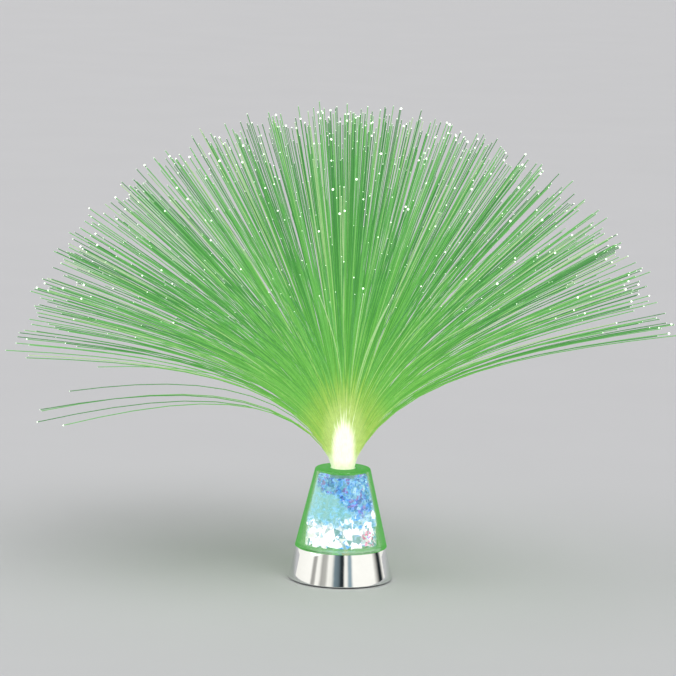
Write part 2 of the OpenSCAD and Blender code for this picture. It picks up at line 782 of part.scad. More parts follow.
// A hook that goes up inside the opening's edge and out over the plate
module door_hook() {
    riser_t = 1.2;
    riser_y = -tray_in_l / 2 + 0.4;
    box_between([0, riser_y, door_top_z - 0.5], [hook_w, riser_y + riser_t, hook_rise + hook_t]);
    box_between([0, hinge_y - hook_reach, hook_rise], [hook_w, riser_y + riser_t, hook_rise + hook_t]);
}

module door_foam() {
    color("#55585c")
        box_between([-tray_in_w / 2 + 2, -5, door_top_z], [tray_in_w / 2 - 2, 5, door_top_z + foam_t]);
}

// ---- Fibre spray ----

module ferrule() {
    color("#e8ece6")
        rotate_extrude()
            polygon([
                [bundle_r - lip_w, ferrule_z], [ferrule_r - 0.4, ferrule_z], [ferrule_r, ferrule_z + 0.4],
                [ferrule_r, cone_top_z], [bundle_r, cone_top_z],
                [bundle_r, ferrule_z + lip_t], [bundle_r - lip_w, ferrule_z + lip_t]]);
}

module bundle_plug() {
    color("#f2f5dc")
        translate([0, 0, ferrule_z + lip_t])
            cylinder(h = slice_z - ferrule_z - lip_t, r = plug_r);
}

// Ring n has n fibres in each sector. A fibre leans out in an upright plane of its own, and
// further than the ring inside it, so that none cross.
fiber_sides = 3;
fiber_sink = 1.5;      // how deep a fibre's root is fused into its slice
lean_at_root = 0.23;   // share of its final lean that a fibre has where it leaves the bundle
lean_length = 0.29 * fiber_len;
ring_pitch = (plug_r - fiber_d / 2) / fiber_rings;
ring_turn = 14;        // how far a ring's planes are turned about their fibres' roots, at most
golden_angle = 137.5;
lean_scatter = 0.618034;       // steps whose remainders are spread evenly and never repeat
length_scatter = 0.754878;
function fiber_number(sector, ring, i) =
    sector * fiber_rings * (fiber_rings + 1) / 2 + ring * (ring - 1) / 2 + i;
function scatter(number, step) = 2 * (number * step - floor(number * step)) - 1;
function root_angle(sector, ring, i) = sector_angle * (sector + (i + 0.5) / ring);
function plane_angle(sector, ring, i) = root_angle(sector, ring, i) + ring_turn * sin(golden_angle * ring);

// Lean of a fibre at its tip: the rings share the dome evenly
function tip_lean(sector, ring, i) =
    let (plane_a = plane_angle(sector, ring, i))
    let (limit = fiber_lean * (1 - fiber_bias * cos(plane_a) - fiber_flatten * pow(sin(plane_a), 2)))
    let (dome = 2 * asin((ring - 0.35) / (fiber_rings - 0.35) * sin(limit / 2)))
    dome + 0.25 * fiber_lean / fiber_rings * scatter(fiber_number(sector, ring, i), lean_scatter);

// Most of the few fibres that droop are on the left
function droops(sector, ring, i) =
    let (angle = plane_angle(sector, ring, i))
    ring == fiber_rings && i % 2 == 0 && abs(angle - 180) < 35;
function final_lean(sector, ring, i) = tip_lean(sector, ring, i) + (droops(sector, ring, i) ? fiber_droop : 0);
function lean(final, s) = final * (1 - (1 - lean_at_root) * exp(-s / lean_length));

// Shares of its length at which a fibre has points: most on the rings that bend most
function fiber_stations(ring) = ring < 3 ? [0, 1] : ring < 6 ? [0, 0.3, 1] : [0, 0.17, 0.45, 1];

// Reach and height of a fibre at a length along it, summed in short steps
reach_step = 8;
function fiber_reach(final, s) =
    s <= 0 ? [0, 0]
           : let (piece = min(s, reach_step))
             let (tilt = lean(final, s - piece / 2))
             fiber_reach(final, s - piece) + piece * [sin(tilt), cos(tilt)];

function fiber_path(sector, ring, i) =
    let (root_a = root_angle(sector, ring, i))
    let (plane_a = plane_angle(sector, ring, i))
    let (root_r = ring_pitch * (ring - 0.5 / fiber_rings))
    let (root = root_r * [cos(root_a), sin(root_a)])
    let (stray = 0.02 * scatter(fiber_number(sector, ring, i), length_scatter))
    let (length = fiber_len * (1 + stray - (droops(sector, ring, i) ? 0.1 : 0)))
    let (final = final_lean(sector, ring, i))
    concat(
        [[root[0], root[1], spray_z - fiber_sink]],
        [for (share = fiber_stations(ring))
            let (at = fiber_reach(final, share * length))
            [root[0] + at[0] * cos(plane_a), root[1] + at[0] * sin(plane_a), spray_z + at[1]]]);

module fiber_spray(sector) {
    color("#46c257")
        union() {
            rotate([0, 0, sector * sector_angle])
                rotate_extrude(angle = sector_angle)
                    polygon([[0, slice_z], [plug_r, slice_z], [plug_r, spray_z], [0, spray_z]]);
            for (ring = [1:fiber_rings])
                for (i = [0:ring - 1])
                    fiber_strand(sector, ring, i);
        }
}

module fiber_strand(sector, ring, i) {
    angle = plane_angle(sector, ring, i);
    tube_along(fiber_path(sector, ring, i), fiber_d, fiber_sides, [-sin(angle), cos(angle), 0]);
}

// ---- Nodes ----

base_shell();
base_plate();
rubber_feet();
plate_screws();
for (i = [0:cell_count - 1])
    battery(i);
contact_springs();
contact_plates();
led_board();
led(330, "#ff6a5c");  // led_red
led(210, "#6af07a");  // led_green
led(90, "#6a8cff");  // led_blue
driver_blob();
led_resistors();
board_screws();
switch_body();
wire(wire_positive_path, "#c22a22", [1, 0, 0]);  // wire_positive
wire(wire_negative_path, "#1c1c1e", [1, -1, 0.2]);  // wire_negative
wire(wire_switched_path, "#e6e6e2", [1, 1, 0.1]);  // wire_switched
clear_cone();
cone_floor();
light_tube();
crystal_chips();
switch_knob();
battery_door();
door_foam();
ferrule();
bundle_plug();
for (i = [0:sectors - 1])
    fiber_spray(i);
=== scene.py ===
"""Looks of a fibre optic lamp: a glowing green spray over a clear cone of crystal chips,
on a chromed battery base. Lengths are in metres, in the frame that the solids use."""
import math

import bmesh
import bpy
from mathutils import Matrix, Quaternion, Vector


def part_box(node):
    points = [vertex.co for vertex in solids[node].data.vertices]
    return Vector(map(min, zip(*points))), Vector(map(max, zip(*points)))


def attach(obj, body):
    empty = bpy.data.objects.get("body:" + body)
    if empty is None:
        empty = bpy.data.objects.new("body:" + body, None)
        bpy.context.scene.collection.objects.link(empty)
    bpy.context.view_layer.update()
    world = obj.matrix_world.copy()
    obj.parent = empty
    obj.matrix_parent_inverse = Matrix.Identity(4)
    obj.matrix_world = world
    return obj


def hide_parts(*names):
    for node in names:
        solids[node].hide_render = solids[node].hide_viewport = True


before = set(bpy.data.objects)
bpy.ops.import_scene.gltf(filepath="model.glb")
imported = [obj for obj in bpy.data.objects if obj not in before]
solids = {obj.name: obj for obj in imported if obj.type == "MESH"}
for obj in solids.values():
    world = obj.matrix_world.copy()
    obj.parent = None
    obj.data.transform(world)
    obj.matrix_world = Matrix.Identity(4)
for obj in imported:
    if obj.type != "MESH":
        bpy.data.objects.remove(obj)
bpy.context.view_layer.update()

MM = 0.001

# ---- Sizes, from the solids where they have them ----

lid_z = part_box("clear_cone")[1].z
cone_foot_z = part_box("clear_cone")[0].z
cone_foot_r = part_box("clear_cone")[1].x
CONE_LID_R = 19.5 * MM
CONE_WALL = 3 * MM
RIM_FOOT_R = 26.4 * MM              # the rim that stands on the cone's floor: its inner side
floor_top_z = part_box("crystal_chips")[0].z
chips_top_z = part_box("crystal_chips")[1].z
rim_top_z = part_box("cone_floor")[1].z
tube_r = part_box("light_tube")[1].x
bundle_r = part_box("bundle_plug")[1].x
plug_top_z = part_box("bundle_plug")[1].z
spray_foot_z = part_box("fiber_spray_1")[0].z + 2 * MM     # the strands leave a slice of this thickness

# ---- Camera, at the photograph's viewing angle ----

PHOTO_PIXELS = 676
METRES_PER_PIXEL = 0.7054 * MM      # on the lamp's axis
CAMERA_DISTANCE = 2.6
CAMERA_ELEVATION = math.radians(8.8)
CAMERA_ROLL = math.radians(1.5)     # the lamp leans a little to the right in the picture
CAMERA_AIM = Vector((-5.9 * MM, 0, 172.8 * MM))


def make_camera():
    data = bpy.data.cameras.new("camera")
    camera = bpy.data.objects.new("camera", data)
    bpy.context.scene.collection.objects.link(camera)
    back = Vector((0, -math.cos(CAMERA_ELEVATION), math.sin(CAMERA_ELEVATION)))
    camera.location = CAMERA_AIM + back * CAMERA_DISTANCE
    camera.rotation_mode = "QUATERNION"
    roll = Quaternion((0, 0, 1), CAMERA_ROLL)
    camera.rotation_quaternion = (-back).to_track_quat("-Z", "Y") @ roll
    half_width = PHOTO_PIXELS * METRES_PER_PIXEL / 2
    data.lens = data.sensor_width / 2 * CAMERA_DISTANCE / half_width
    data.clip_end = 60
    bpy.context.scene.camera = camera


# ---- Node trees ----


def add(tree, kind, inputs=None, **settings):
    """Adds a node. An input's value is a number, a colour or another node's output."""
    made = tree.nodes.new(kind)
    for name, value in settings.items():
        setattr(made, name, value)
    for name, value in (inputs or {}).items():
        if isinstance(value, bpy.types.NodeSocket):
            tree.links.new(value, made.inputs[name])
        else:
            made.inputs[name].default_value = value
    return made


def sums(tree, operation, *values):
    """A Math node's output."""
    made = tree.nodes.new("ShaderNodeMath")
    made.operation = operation
    for socket, value in zip(made.inputs, values):
        if isinstance(value, bpy.types.NodeSocket):
            tree.links.new(value, socket)
        else:
            socket.default_value = value
    return made.outputs[0]


def spread(tree, value, low, high, new_low=0.0, new_high=1.0):
    """A value's place between two others, clamped, with a smooth start and end."""
    made = add(tree, "ShaderNodeMapRange",
               {"Value": value, "From Min": low, "From Max": high, "To Min": new_low, "To Max": new_high},
               interpolation_type="SMOOTHSTEP")
    return made.outputs["Result"]


def ramp(tree, value, stops, interpolation="LINEAR"):
    """A colour ramp's output. A stop is a place and a colour."""
    made = add(tree, "ShaderNodeValToRGB", {"Fac": value})
    band = made.color_ramp
    band.interpolation = interpolation
    while len(band.elements) < len(stops):
        band.elements.new(1)
    for element, (place, colour) in zip(band.elements, stops):
        element.position = place
        element.color = (*colour, 1)
    return made.outputs["Color"]


def blend_colours(tree, share, first, second):
    """The first colour where the share is 0, and the second where it is 1."""
    made = add(tree, "ShaderNodeMix", data_type="RGBA")
    for name, value in (("Factor_Float", share), ("A_Color", first), ("B_Color", second)):
        socket = next(s for s in made.inputs if s.identifier == name)
        if isinstance(value, bpy.types.NodeSocket):
            tree.links.new(value, socket)
        elif name == "Factor_Float":
            socket.default_value = value
        else:
            socket.default_value = (*value, 1)
    return next(s for s in made.outputs if s.identifier == "Result_Color")


def attribute(tree, name):
    """What the piece's shape tree stored on it by that name."""
    return add(tree, "ShaderNodeAttribute", attribute_name=name).outputs["Fac"]


def place(tree):
    """Object coordinates, as a vector and one by one."""
    coordinates = add(tree, "ShaderNodeTexCoord").outputs["Object"]
    parts = add(tree, "ShaderNodeSeparateXYZ", {"Vector": coordinates}).outputs
    return coordinates, parts


def grain(tree, coordinates, per_metre, detail=3.0):
    """Noise with so many lumps to a metre."""
    made = add(tree, "ShaderNodeTexNoise",
               {"Vector": coordinates, "Scale": per_metre, "Detail": detail, "Roughness": 0.55})
    return made.outputs["Fac"]


def bump(tree, height, depth, strength=0.5):
    made = add(tree, "ShaderNodeBump", {"Height": height, "Distance": depth, "Strength": strength})
    return made.outputs["Normal"]


def new_finish(name):
    """A material with its tree emptied down to one shader, which is returned with the tree."""
    material = bpy.data.materials.new(name)
    material.use_nodes = True
    tree = material.node_tree
    tree.nodes.clear()
    shader = tree.nodes.new("ShaderNodeBsdfPrincipled")
    output = tree.nodes.new("ShaderNodeOutputMaterial")
    tree.links.new(shader.outputs["BSDF"], output.inputs["Surface"])
    return material, tree, shader


def set_shader(tree, shader, **inputs):
    """Fills the shader's sockets, each with a number, a colour or another node's output."""
    names = {name.lower().replace(" ", "_"): name for name in shader.inputs.keys()}
    for key, value in inputs.items():
        socket = shader.inputs[names[key]]
        if isinstance(value, bpy.types.NodeSocket):
            tree.links.new(value, socket)
        else:
            socket.default_value = (*value, 1) if isinstance(value, tuple) else value


# ---- Finishes ----


def moulded_plastic(name, dark, light, rough=0.5, glow=0.0):
    """Moulded plastic with a fine spark texture, lit from within where it glows."""
    material, tree, shader = new_finish(name)
    coordinates, _ = place(tree)
    clouds = grain(tree, coordinates, 60)
    texture = grain(tree, coordinates, 2600, 2)
    set_shader(tree, shader,
               base_color=blend_colours(tree, clouds, dark, light),
               emission_color=light,
               emission_strength=glow,
               roughness=spread(tree, clouds, 0.3, 0.7, rough - 0.07, rough + 0.07),
               normal=bump(tree, texture, 0.00006))
    return material


def plated_metal(name, colour, rough=0.25):
    """Plated steel, with faint drawing lines and stains."""
    material, tree, shader = new_finish(name)
    coordinates, _ = place(tree)
    stretched = add(tree, "ShaderNodeMapping", {"Vector": coordinates, "Scale": (1, 1, 8)}).outputs["Vector"]
    lines = grain(tree, stretched, 900, 4)
    stains = grain(tree, coordinates, 180)
    darker = tuple(c * 0.8 for c in colour)
    set_shader(tree, shader,
               base_color=blend_colours(tree, stains, darker, colour),
               metallic=1.0,
               roughness=spread(tree, lines, 0.3, 0.7, rough - 0.08, rough + 0.12),
               normal=bump(tree, lines, 0.00002, 0.3))
    return material


def chromed_plastic():
    """Bright plating over moulded plastic: a mirror with a faint orange peel."""
    material, tree, shader = new_finish("chromed_plastic")
    coordinates, _ = place(tree)
    peel = grain(tree, coordinates, 90, 2)
    haze = grain(tree, coordinates, 35, 5)
    set_shader(tree, shader,
               base_color=ramp(tree, haze, [(0.3, (0.78, 0.79, 0.79)), (0.7, (0.86, 0.87, 0.88))]),
               metallic=1.0,
               roughness=spread(tree, haze, 0.4, 0.75, 0.035, 0.09),
               normal=bump(tree, peel, 0.00012, 0.35))
    return material


def soft_rubber():
    material, tree, shader = new_finish("soft_rubber")
    coordinates, _ = place(tree)
    texture = grain(tree, coordinates, 1800, 4)
    set_shader(tree, shader,
               base_color=ramp(tree, texture, [(0.3, (0.03, 0.03, 0.032)), (0.7, (0.075, 0.075, 0.08))]),
               roughness=0.85,
               sheen_weight=0.15,
               normal=bump(tree, texture, 0.0001, 0.7))
    return material


def sponge_foam():
    material, tree, shader = new_finish("sponge_foam")
    coordinates, _ = place(tree)
    cells = add(tree, "ShaderNodeTexVoronoi", {"Vector": coordinates, "Scale": 1500.0}).outputs["Distance"]
    # Darker in the pores that the bump sinks: painted shade
    set_shader(tree, shader,
               base_color=ramp(tree, cells, [(0.0, (0.02, 0.02, 0.022)), (0.7, (0.13, 0.13, 0.14))]),
               roughness=0.95,
               normal=bump(tree, cells, 0.0003, 0.9))
    return material


CELL_LENGTH = 44.5 * MM
NUB_END = 0.046             # shares of the length from the nub: the bare metal round it ends here
BAND_END = 0.281            # the copper band ends here
CAN_END = 0.971             # the bare metal at the flat end starts here


def cell_sleeve(name, nub_y, way):
    """A cell's sleeve: dark with a copper band at the nub's end, and bare metal at both ends.
    way is 1 where the nub points to +Y, and -1 where it points to -Y."""
    material, tree, shader = new_finish(name)
    coordinates, parts = place(tree)
    from_nub = sums(tree, "MULTIPLY", sums(tree, "SUBTRACT", nub_y, parts["Y"]), way)
    metal = (0.62, 0.62, 0.6)
    copper = (0.55, 0.24, 0.07)
    black = (0.012, 0.012, 0.014)
    share = sums(tree, "DIVIDE", from_nub, CELL_LENGTH)
    stops = [(0.0, metal), (NUB_END, copper), (BAND_END, black), (CAN_END, metal)]
    bare = ramp(tree, share, [(0.0, (1, 1, 1)), (NUB_END, (0, 0, 0)), (CAN_END, (1, 1, 1))], "CONSTANT")
    scuffs = grain(tree, coordinates, 700, 4)
    set_shader(tree, shader,
               base_color=ramp(tree, share, stops, "CONSTANT"),
               metallic=bare,
               roughness=spread(tree, scuffs, 0.3, 0.7, 0.2, 0.38))
    return material


def board_laminate():
    """Paper laminate, pale tan, with fine tracks that show through."""
    material, tree, shader = new_finish("board_laminate")
    coordinates, _ = place(tree)
    tracks = add(tree, "ShaderNodeTexBrick",
                 {"Vector": coordinates, "Color1": (0.4, 0.41, 0.31, 1), "Color2": (0.37, 0.38, 0.28, 1),
                  "Mortar": (0.52, 0.53, 0.42, 1), "Scale": 260.0, "Mortar Size": 0.06}).outputs["Color"]
    fibres = grain(tree, coordinates, 1200, 3)
    pale_fibres = spread(tree, fibres, 0.4, 0.8, 0.0, 0.3)
    set_shader(tree, shader,
               base_color=blend_colours(tree, pale_fibres, tracks, (0.6, 0.6, 0.48)),
               roughness=0.35,
               normal=bump(tree, fibres, 0.00005, 0.3))
    return material


def wire_sleeve(name, colour):
    material, tree, shader = new_finish(name)
    coordinates, _ = place(tree)
    marks = grain(tree, coordinates, 500, 3)
    paler = tuple(min(1, c * 1.3 + 0.01) for c in colour)
    set_shader(tree, shader,
               base_color=blend_colours(tree, marks, colour, paler),
               roughness=0.4,
               normal=bump(tree, marks, 0.00005, 0.3))
    return material


def led_lens(name, colour):
    """A tinted lens with its chip lit below the dome."""
    material, tree, shader = new_finish(name)
    coordinates, parts = place(tree)
    low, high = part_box(name)
    height = spread(tree, parts["Z"], low.z, high.z)
    glow = ramp(tree, height, [(0.0, tuple(c * 0.3 for c in colour)), (0.45, tuple(c * 0.9 for c in colour)),
                               (1.0, tuple(0.35 + 0.65 * c for c in colour))])
    ripple = grain(tree, coordinates, 400, 2)
    set_shader(tree, shader,
               base_color=colour,
               roughness=spread(tree, ripple, 0.3, 0.7, 0.05, 0.12),
               emission_color=glow,
               emission_strength=3.0)
    return material


EDGE_LIGHT = (0.09, 0.43, 0.075)    # green, in the cone's wall and the floor
TUBE_LIGHT = (0.4, 0.6, 0.8)
LIP_LIGHT = (0.52, 0.76, 0.56)
EDGE_STARTS = 0.42                  # of Layer Weight's facing
EDGE_FULL = 0.64


def clear_moulding(name, tint, glow, density, lit_edge=0.0, lip_glow=None):
    """Clear polystyrene that carries the light. It glows most where the eye looks along a wall.
    The lip under the cone's foot can have a paler light of its own, from the chips above it."""
    material, tree, shader = new_finish(name)
    coordinates, parts = place(tree)
    flow = grain(tree, coordinates, 25, 2)
    set_shader(tree, shader,
               base_color=blend_colours(tree, flow, tint, (1.0, 1.0, 1.0)),
               roughness=0.02,
               ior=1.49,
               specular_ior_level=0.12,
               transmission_weight=1.0)
    light = (*glow, 1)
    if lip_glow:
        low_down = spread(tree, parts["Z"], cone_foot_z + 1.5 * MM, cone_foot_z + 0.5 * MM)
        on_lip = sums(tree, "MULTIPLY", low_down, spread(tree, parts["X"], -24 * MM, -10 * MM))
        light = blend_colours(tree, on_lip, glow, lip_glow)
    facing = add(tree, "ShaderNodeLayerWeight", {"Blend": 0.5}).outputs["Facing"]
    lit = spread(tree, facing, EDGE_STARTS, EDGE_FULL, 0.0, lit_edge)
    edge = add(tree, "ShaderNodeMixShader", {"Fac": lit})
    edge_glow = add(tree, "ShaderNodeEmission", {"Color": light})
    tree.links.new(shader.outputs["BSDF"], edge.inputs[1])
    tree.links.new(edge_glow.outputs["Emission"], edge.inputs[2])
    absorbing = add(tree, "ShaderNodeVolumeAbsorption", {"Color": (0.0, 0.0, 0.0, 1), "Density": density})
    glowing = add(tree, "ShaderNodeEmission", {"Color": light, "Strength": density})
    both = tree.nodes.new("ShaderNodeAddShader")
    tree.links.new(absorbing.outputs["Volume"], both.inputs[0])
    tree.links.new(glowing.outputs["Emission"], both.inputs[1])
    output = next(n for n in tree.nodes if n.type == "OUTPUT_MATERIAL")
    tree.links.new(edge.outputs["Shader"], output.inputs["Surface"])
    tree.links.new(both.outputs["Shader"], output.inputs["Volume"])
    return material


RED_SPOT = Vector((19, -18, 32)) * MM       # where the red LED's light shows most
WHITE_LEVEL = 40 * MM                       # painted white LED light on all chips below it on the left
BLUE_LEVEL = 55 * MM                        # the painted blue light starts here over the axis, and lower to the right


def chip_plastic():
    """Crushed clear chips, lit from below, with that light painted in as their colour and glow. White where
    the
    LEDs reach them, with painted glints, greyer facets of painted shade and a few bits painted red by the red
    LED's light; painted blue and violet light higher up and to the right, cyan and still to the left."""
    material, tree, shader = new_finish("chip_plastic")
    coordinates, parts = place(tree)
    patches = grain(tree, coordinates, 110, 3)
    chip = attribute(tree, "chip")
    facet = attribute(tree, "facet")
    shard = attribute(tree, "shard")
    wander = sums(tree, "MULTIPLY", sums(tree, "SUBTRACT", patches, 0.5), 22 * MM)
    level = sums(tree, "ADD", parts["Z"], wander)
    right = sums(tree, "ADD", parts["X"], sums(tree, "MULTIPLY", wander, 0.6))
    blue_edge = sums(tree, "SUBTRACT", BLUE_LEVEL, sums(tree, "MULTIPLY", right, 0.9))
    blue = spread(tree, sums(tree, "SUBTRACT", level, blue_edge), -2 * MM, 3 * MM)
    lifted = sums(tree, "MULTIPLY", sums(tree, "MAXIMUM", parts["X"], 0.0), 0.4)
    white = spread(tree, sums(tree, "SUBTRACT", level, lifted), WHITE_LEVEL + 7 * MM, WHITE_LEVEL)
    still = (0.28, 0.49, 0.64)
    # The blues are painted light, each chip a little different, with paler and darker specks in it
    blues = ramp(tree, chip, [
        (0.0, (0.05, 0.1, 0.5)), (0.12, (0.24, 0.13, 0.52)), (0.25, (0.08, 0.26, 0.66)),
        (0.5, (0.14, 0.36, 0.72)), (0.72, (0.23, 0.44, 0.8)), (0.9, (0.45, 0.62, 0.9))], "CONSTANT")
    specks = spread(tree, grain(tree, coordinates, 1300, 2), 0.6, 0.68, 0.0, 0.55)
    blues = blend_colours(tree, specks, blues, (0.6, 0.72, 0.95))
    dark_specks = spread(tree, grain(tree, coordinates, 900, 2), 0.4, 0.33, 0.0, 0.7)
    blues = blend_colours(tree, dark_specks, blues, (0.05, 0.1, 0.5))
    whites = ramp(tree, chip, [
        (0.0, (0.1, 0.3, 0.8)), (0.1, (0.22, 0.36, 0.52)), (0.55, (0.38, 0.48, 0.66)),
        (0.8, (0.9, 0.8, 1.0))], "CONSTANT")
    # Large shards in the white: facets that catch the painted light white, the others greyer, in painted
    # shade
    shards = ramp(tree, facet, [
        (0.0, (0.3, 0.42, 0.62)), (0.22, (0.62, 0.62, 0.85)), (0.38, (1.0, 0.84, 1.0))], "CONSTANT")
    colour = blend_colours(tree, blue, still, blues)
    colour = blend_colours(tree, white, colour, whites)
    colour = blend_colours(tree, sums(tree, "MULTIPLY", shard, white), colour, shards)
    # Pink-red where the red LED's light falls: painted light
    to_red = add(tree, "ShaderNodeVectorMath", {0: coordinates, 1: RED_SPOT}, operation="DISTANCE")
    near_red = spread(tree, to_red.outputs["Value"], 8 * MM, 5 * MM)
    warm = sums(tree, "MULTIPLY", near_red, spread(tree, grain(tree, coordinates, 500, 2), 0.51, 0.57))
    colour = blend_colours(tree, warm, colour, (0.8, 0.1, 0.4))
    contrast = sums(tree, "MAXIMUM", sums(tree, "MAXIMUM", blue, white), 0.15)
    # Painted glints: each facet glows brighter or dimmer at random, brighter still in the white
    glint = sums(tree, "ADD", sums(tree, "MULTIPLY", facet, 0.8), 0.5)
    glint = sums(tree, "MULTIPLY", glint, sums(tree, "ADD", sums(tree, "MULTIPLY", white, 0.5), 1.0))
    strength = add(tree, "ShaderNodeMix", {"Factor": contrast, "A": 0.9, "B": glint}).outputs["Result"]
    set_shader(tree, shader,
               base_color=colour,
               roughness=spread(tree, facet, 0.0, 1.0, 0.05, 0.25),
               ior=1.5,
               emission_color=colour,
               emission_strength=strength)
    return material


BEAM_DEPTH = 3.5            # how much further the core's glow reaches to the front and back


def fibre_plastic():
    """Lit fibres: near white where they leave the cone, then yellow-green, and darker towards their tips."""
    material, tree, shader = new_finish("fibre_plastic")
    coordinates, parts = place(tree)
    along = attribute(tree, "along")
    shade = attribute(tree, "shade")
    tip = attribute(tree, "tip")
    bright = ramp(tree, along, [
        (0.0, (0.36, 0.62, 0.12)), (0.12, (0.2, 0.52, 0.09)), (0.3, (0.17, 0.48, 0.085)),
        (0.55, (0.14, 0.45, 0.085)), (0.8, (0.11, 0.4, 0.085)), (1.0, (0.15, 0.45, 0.12))])
    deep = ramp(tree, along, [
        (0.0, (0.26, 0.52, 0.09)), (0.12, (0.14, 0.44, 0.07)), (0.3, (0.11, 0.38, 0.06)),
        (0.6, (0.06, 0.27, 0.05)), (1.0, (0.045, 0.22, 0.05))])
    # A few fibres get this pale green: painted highlights
    pale = ramp(tree, along, [(0.0, (0.5, 0.7, 0.2)), (0.3, (0.33, 0.6, 0.18)), (1.0, (0.4, 0.58, 0.3))])
    green = blend_colours(tree, spread(tree, shade, 0.25, 0.6), deep, bright)
    green = blend_colours(tree, spread(tree, shade, 0.9, 0.95), green, pale)
    height = sums(tree, "SUBTRACT", parts["Z"], lid_z)

    def beam(width, middle, half_height):
        """1 at the middle of the light that leaves the socket, and over 1 outside it."""
        across = sums(tree, "POWER", sums(tree, "DIVIDE", parts["X"], width), 2.0)
        deep_in = sums(tree, "POWER", sums(tree, "DIVIDE", parts["Y"], width * BEAM_DEPTH), 2.0)
        rise = sums(tree, "DIVIDE", sums(tree, "SUBTRACT", height, middle), half_height)
        up = sums(tree, "POWER", rise, 2.0)
        return sums(tree, "ADD", sums(tree, "ADD", across, deep_in), up)

    core = spread(tree, beam(9 * MM, 21 * MM, 33 * MM), 1.25, 0.45)
    core = sums(tree, "MULTIPLY", core, spread(tree, height, 0.0, 8 * MM, 0.3, 1.0))
    foot = spread(tree, height, 15 * MM, 3 * MM)
    near = spread(tree, beam(16 * MM, 28 * MM, 42 * MM), 1.3, 0.3)
    halo = spread(tree, beam(33 * MM, 24 * MM, 56 * MM), 1.3, 0.2)
    halo = sums(tree, "MULTIPLY", halo, spread(tree, shade, 0.0, 0.8, 0.45, 1.0))
    warm_green = blend_colours(tree, halo, green, (0.36, 0.55, 0.1))
    warm_green = blend_colours(tree, near, warm_green, (0.52, 0.67, 0.2))
    warm_green = blend_colours(tree, foot, warm_green, (0.76, 0.88, 0.58))
    colour = blend_colours(tree, core, warm_green, (1.0, 1.0, 0.78))
    colour = blend_colours(tree, tip, colour, (0.85, 1.0, 0.8))
    # The fibres' glow is a little weaker in patches
    patchy_glow = grain(tree, coordinates, 300, 2)
    strength = sums(tree, "ADD", spread(tree, patchy_glow, 0.3, 0.7, 0.85, 1.0),
                    sums(tree, "ADD", sums(tree, "MULTIPLY", core, 0.2), sums(tree, "MULTIPLY", tip, 1.2)))
    set_shader(tree, shader,
               base_color=blend_colours(tree, 0.7, green, (0.0, 0.0, 0.0)),
               roughness=0.3,
               ior=1.49,
               emission_color=colour,
               emission_strength=strength)
    material.cycles.emission_sampling = "NONE"
    return material


# ---- Pieces that Geometry Nodes make ----


class Shape:
    """A Geometry Nodes tree with named inputs, run once on an empty mesh."""

    def __init__(self, name):
        self.name = name
        self.tree = bpy.data.node_groups.new(name, "GeometryNodeTree")
        self.tree.interface.new_socket("Geometry", in_out="OUTPUT", socket_type="NodeSocketGeometry")
        self.values = {}
        self.source = self.tree.nodes.new("NodeGroupInput")

    def size(self, name, value):
        """A named input of the tree, with its value. Returns the socket to link from."""
        kind = "NodeSocketInt" if isinstance(value, int) else "NodeSocketFloat"
        socket = self.tree.interface.new_socket(name, in_out="INPUT", socket_type=kind)
        self.values[socket.identifier] = value
        return self.source.outputs[name]

    def add(self, kind, inputs=None, **settings):
        return add(self.tree, kind, inputs, **settings)

    def sums(self, operation, *values):
        return sums(self.tree, operation, *values)

    def random(self, identity, low, high, seed):
        """A number of its own for each identity, the same in every run."""
        made = self.add("FunctionNodeRandomValue", data_type="FLOAT")
        sockets = {s.identifier: s for s in made.inputs}
        sockets["Min_001"].default_value = low
        sockets["Max_001"].default_value = high
        sockets["Seed"].default_value = seed
        self.tree.links.new(identity, sockets["ID"])
        return next(s for s in made.outputs if s.identifier == "Value_001")

    def vector(self, x, y, z):
        return self.add("ShaderNodeCombineXYZ", {"X": x, "Y": y, "Z": z}).outputs["Vector"]

    def store(self, geometry, name, value, domain="POINT"):
        """The geometry with a value kept on it, for its material or a later node."""
        made = self.add("GeometryNodeStoreNamedAttribute",
                        {"Geometry": geometry, "Name": name, "Value": value},
                        data_type="FLOAT", domain=domain)
        return made.outputs["Geometry"]

    def stored(self, name):
        """A value that store kept."""
        made = self.add("GeometryNodeInputNamedAttribute", {"Name": name}, data_type="FLOAT")
        return made.outputs["Attribute"]

    def finished(self, geometry, material):
        """Ends the tree, runs it and returns a plain mesh piece."""
        whole = self.add("GeometryNodeRealizeInstances", {"Geometry": geometry}).outputs["Geometry"]
        coated = self.add("GeometryNodeSetMaterial", {"Geometry": whole, "Material": material})
        end = self.tree.nodes.new("NodeGroupOutput")
        self.tree.links.new(coated.outputs["Geometry"], end.inputs["Geometry"])
        holder = bpy.data.objects.new(self.name + "_maker", bpy.data.meshes.new(self.name + "_maker"))
        bpy.context.scene.collection.objects.link(holder)
        modifier = holder.modifiers.new("shape", "NODES")
        modifier.node_group = self.tree
        for identifier, value in self.values.items():
            modifier[identifier] = value
        graph = bpy.context.evaluated_depsgraph_get()
        mesh = bpy.data.meshes.new_from_object(holder.evaluated_get(graph))
        bpy.data.objects.remove(holder)
        piece = bpy.data.objects.new(self.name, mesh)
        bpy.context.scene.collection.objects.link(piece)
        return piece


